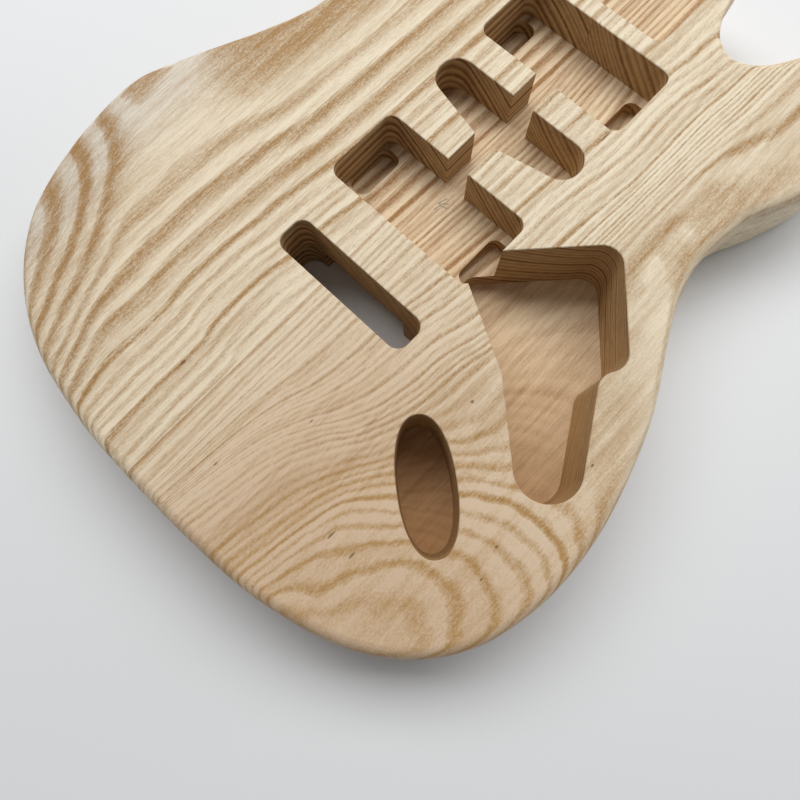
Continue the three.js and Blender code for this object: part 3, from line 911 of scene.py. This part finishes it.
# Pencil strokes on the floor of the bridge pickup route, each from one end to the other
PENCIL_STROKES = (
    ((-1.4, -31.2), (0, -26.4)), ((-0.9, -31.1), (2.7, -28.1)), ((-0.6, -35.3), (-0.1, -31.4)),
    ((-0.1, -31.4), (4, -30.5)),
)
PENCIL_LEVEL = (TOP - ROUTE_DEPTH) / MM
PENCIL_LEVEL_FADE = (0.5, 1)
PENCIL_WIDTH_FADE = (0.02, 0.12)
FLECK_FADE = (0.2, 1.2)


def flecks(x, y):
    """Dark inside any fleck, fading over its edge."""
    marks = []
    for fleck_x, fleck_y, half_length, half_width in FLECKS:
        off_x = (x - fleck_x) / half_width
        off_y = (y - fleck_y) / half_length
        marks.append((off_x * off_x + off_y * off_y).fade(*FLECK_FADE))
    return sum(marks)


def pencil(x, y, z):
    """Grey on each stroke, at the level of the route's floor only."""
    marks = []
    for (x0, y0), (x1, y1) in PENCIL_STROKES:
        run_x, run_y = x1 - x0, y1 - y0
        square = run_x**2 + run_y**2
        share = (((x - x0) * run_x + (y - y0) * run_y) / square).clamped()
        off_x = x - x0 - share * run_x
        off_y = y - y0 - share * run_y
        marks.append((off_x * off_x + off_y * off_y).fade(*PENCIL_WIDTH_FADE))
    return sum(marks) * (z - PENCIL_LEVEL).math("ABSOLUTE").fade(*PENCIL_LEVEL_FADE)


def ash(board, finish):
    look = FINISHES[finish]
    log = LOGS[board]
    material = bpy.data.materials.new(f"{board} side ash, {finish}")
    material.use_nodes = True
    tree = material.node_tree
    shader = tree.nodes["Principled BSDF"]
    parted = tree.nodes.new("ShaderNodeSeparateXYZ")
    tree.links.new(tree.nodes.new("ShaderNodeTexCoord").outputs["Object"], parted.inputs[0])
    x, y, z = (Field(tree, socket) / MM for socket in parted.outputs)

    # Rings, each darkest early on and fading into its late wood
    wandered = x + noise("wander", x, y, z) * log["wander"]
    number = log["rings"](wandered, y, z)
    flat_sawn = number.fade(*FLAT_SAWN_RINGS) if board == "treble" else 0.0
    arches = flat_sawn * y.fade(*ARCHES_TO_Y) if board == "treble" else 0.0
    kinks = noise("kinks", x, y, z) * (flat_sawn * KINKS_FLAT_SAWN + KINKS)
    feather = noise("feather", x, y, z) * (FEATHER - flat_sawn * FEATHER_FLAT_SAWN)
    number = number + kinks + feather
    whole = number.math("FLOOR")
    phase = number - whole
    bold = sum(whole.math("COMPARE", ring, SAME_RING) for ring in log["bold"])
    calm = y.fade(*CALM_TO_Y) * x.fade(*CALM_TO_X) * x.step(*CALM_FROM_X)
    strength = one_draw(whole) * STRENGTH_DRAWN + STRENGTH + bold * STRENGTH_BOLD
    strength = strength * (1 - calm * CALM) + x.fade(*BEVEL_TO_X) * BEVEL_STRENGTH
    strength = strength * (1 - x.step(*WAIST_FROM_X) * y.step(*WAIST_FROM_Y) * WAIST_CALM)
    if finish == "routed floor":
        shallow = z.step(*FLOOR_FROM_Z)
        strength = strength * (shallow * (1 - DEEP_FLOOR_STRENGTH) + DEEP_FLOOR_STRENGTH)
    early_end = one_draw(whole + EARLY_END_DRAW) * EARLY_END_DRAWN + EARLY_END
    early_end = early_end - flat_sawn * EARLY_END_FLAT_SAWN
    early = phase.step(0, EARLY_PEAK) * phase.fade(EARLY_PEAK, early_end) * strength
    line = phase.step(0, LINE_PEAK) * phase.fade(LINE_PEAK, LINE_END) * strength

    # Fibres, streaks and pores along the grain, and the speckle that they leave across it
    cast = one_draw(whole + CAST_DRAW)
    cast = cast + (one_draw(whole + (CAST_DRAW + 1)) - cast) * phase - 0.5
    speckles = early * SPECKLE_EARLY + arches * SPECKLE_ARCHES + SPECKLE
    fibres = noise("fine", x, y, z) * FINE + noise("fibre", x, y, z) * FIBRE
    grain = fibres * (1 - flat_sawn * FIBRES_FLAT_SAWN) + noise("streak", wandered, y, z) * STREAK
    grain = grain + cast * (calm * CAST_CALM + CAST) + noise("speckle", x, y, z) * speckles
    pores = noise("pore", x, y, z).step(*PORE_STEP) * (early * PORES_EARLY + PORES)
    tone = early * (flat_sawn * RINGS_FLAT_SAWN + RINGS) + line * LINE
    tone = tone * look["rings"] + grain * look["fibres"]
    tone = tone + noise("broad", x, y, z) * look["broad"]
    tone = (tone + PLAIN_TONE).clamped()

    # Darker, pinker wood towards the tail, above all in the treble board: partly heartwood, partly
    # painted shade of the dimmer tail end
    heart_and_shade = y.fade(*HEART_AND_SHADE_TO_Y) * (x.step(*HEART_AND_SHADE_FROM_X) * HEART_AND_SHADE_OUTER + HEART_AND_SHADE) * log["heart_and_shade"]
    plain = heart_and_shade.mix(linear(look["late"]), linear(look["heart_and_shade"]))
    if finish == "sanded":
        plain = x.fade(*BEVEL_COLOUR_TO_X).mix(plain, linear(BEVEL_COLOUR))
    ring_colour = linear(look["early"])
    if finish == "sanded" and board == "treble":
        ring_colour = arches.mix(ring_colour, linear(ARCHES_COLOUR))
    colour = tone.mix(plain, ring_colour)
    colour = (pores * PORE_TINT).mix(colour, linear(look["pore"]))
    glue = (x - GLUE_LINE_X / MM).math("ABSOLUTE").fade(*GLUE_LINE_FADE)
    colour = (glue * GLUE_TINT).mix(colour, linear(GLUE_COLOUR))
    if finish == "sanded":
        colour = (flecks(x, y) * FLECK_TINT).mix(colour, linear(FLECK_COLOUR))
    if finish == "routed floor":
        colour = (pencil(x, y, z) * PENCIL_TINT).mix(colour, linear(PENCIL_COLOUR))
    feed(tree, shader.inputs["Base Color"], colour)
    shader.inputs["Roughness"].default_value = look["roughness"]
    shader.inputs["Specular IOR Level"].default_value = SPECULAR
    bump = tree.nodes.new("ShaderNodeBump")
    bump.inputs["Strength"].default_value = BUMP_STRENGTH
    bump.inputs["Distance"].default_value = BUMP_DISTANCE
    feed(tree, bump.inputs["Height"], 1 - pores)
    tree.links.new(bump.outputs[0], shader.inputs["Normal"])
    return material


# Body

BOARDS = {
    "bass": ("bass_side_board", "bass_side_ash", -WIDTH, GLUE_LINE_X),
    "treble": ("treble_side_board", "treble_side_ash", GLUE_LINE_X, WIDTH),
}
for side, (node, slot, left, right) in BOARDS.items():
    finishes = [ash(side, finish) for finish in FINISHES]
    fine_board = routed_board(f"{side}_side_board_fine", left, right, finishes)
    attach(fine_board, "root")
    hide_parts(node)

# Paper, light and camera

PAPER_SIZE = 4.0
PAPER_GAP = 0.2 * MM
PAPER_ROUGHNESS = 0.85

# Lamps that face the body: place in metres, width, height and power
LAMPS = {
    "window": ((-0.44, 0.53, 1.3), 3.0, 0.8, 31),
    "window further off": ((1.2, 1.6, 0.5), 0.8, 0.8, 4.5),
}
SKY_COLOUR = (0.97, 0.985, 1, 1)
SKY_STRENGTH = 0.18
BACKDROP_RAYS = ("Camera", "Glossy", "Transmission")
CAMERA_PLACE = (96.0 * MM, -153.2 * MM, 282.0 * MM)
CAMERA_TURN = (11.425, 1.387, 43.598)
CAMERA_LENS = 24.66


def paper():
    mesh = bmesh.new()
    bmesh.ops.create_grid(
        mesh, x_segments=1, y_segments=1, size=PAPER_SIZE / 2,
        matrix=Matrix.Translation((0, 0, -PAPER_GAP)),
    )
    made = as_object("paper", mesh)
    material = bpy.data.materials.new("pale paper")
    material.use_nodes = True
    shader = material.node_tree.nodes["Principled BSDF"]
    shader.inputs["Base Color"].default_value = linear(PAPER_COLOUR)
    shader.inputs["Roughness"].default_value = PAPER_ROUGHNESS
    made.data.materials.append(material)


def lamp(name, place, width, height, power):
    data = bpy.data.lights.new(name, "AREA")
    data.shape = "RECTANGLE"
    data.size = width
    data.size_y = height
    data.energy = power
    made = bpy.data.objects.new(name, data)
    bpy.context.scene.collection.objects.link(made)
    made.location = place
    made.rotation_euler = (-Vector(place)).to_track_quat("-Z", "Y").to_euler()


def room():
    """A dim sky that lights the body, behind a backdrop as pale as the paper."""
    world = bpy.data.worlds.new("room")
    world.use_nodes = True
    tree = world.node_tree
    sky = tree.nodes["Background"]
    sky.inputs["Color"].default_value = SKY_COLOUR
    sky.inputs["Strength"].default_value = SKY_STRENGTH
    backdrop = tree.nodes.new("ShaderNodeBackground")
    backdrop.inputs["Color"].default_value = linear(PAPER_COLOUR)
    ray = tree.nodes.new("ShaderNodeLightPath").outputs
    seen = sum(Field(tree, ray[f"Is {kind} Ray"]) for kind in BACKDROP_RAYS)
    shown = tree.nodes.new("ShaderNodeMixShader")
    feed(tree, shown.inputs[0], seen.math("MINIMUM", 1.0))
    tree.links.new(sky.outputs[0], shown.inputs[1])
    tree.links.new(backdrop.outputs[0], shown.inputs[2])
    tree.links.new(shown.outputs[0], tree.nodes["World Output"].inputs[0])
    bpy.context.scene.world = world


def camera():
    made = bpy.data.objects.new("camera", bpy.data.cameras.new("camera"))
    bpy.context.scene.collection.objects.link(made)
    made.location = CAMERA_PLACE
    made.rotation_euler = [math.radians(turn) for turn in CAMERA_TURN]
    made.data.lens = CAMERA_LENS
    bpy.context.scene.camera = made


paper()
for name, (place, width, height, power) in LAMPS.items():
    lamp(name, place, width, height, power)
room()
camera()
bpy.context.scene.view_settings.view_transform = "Standard"
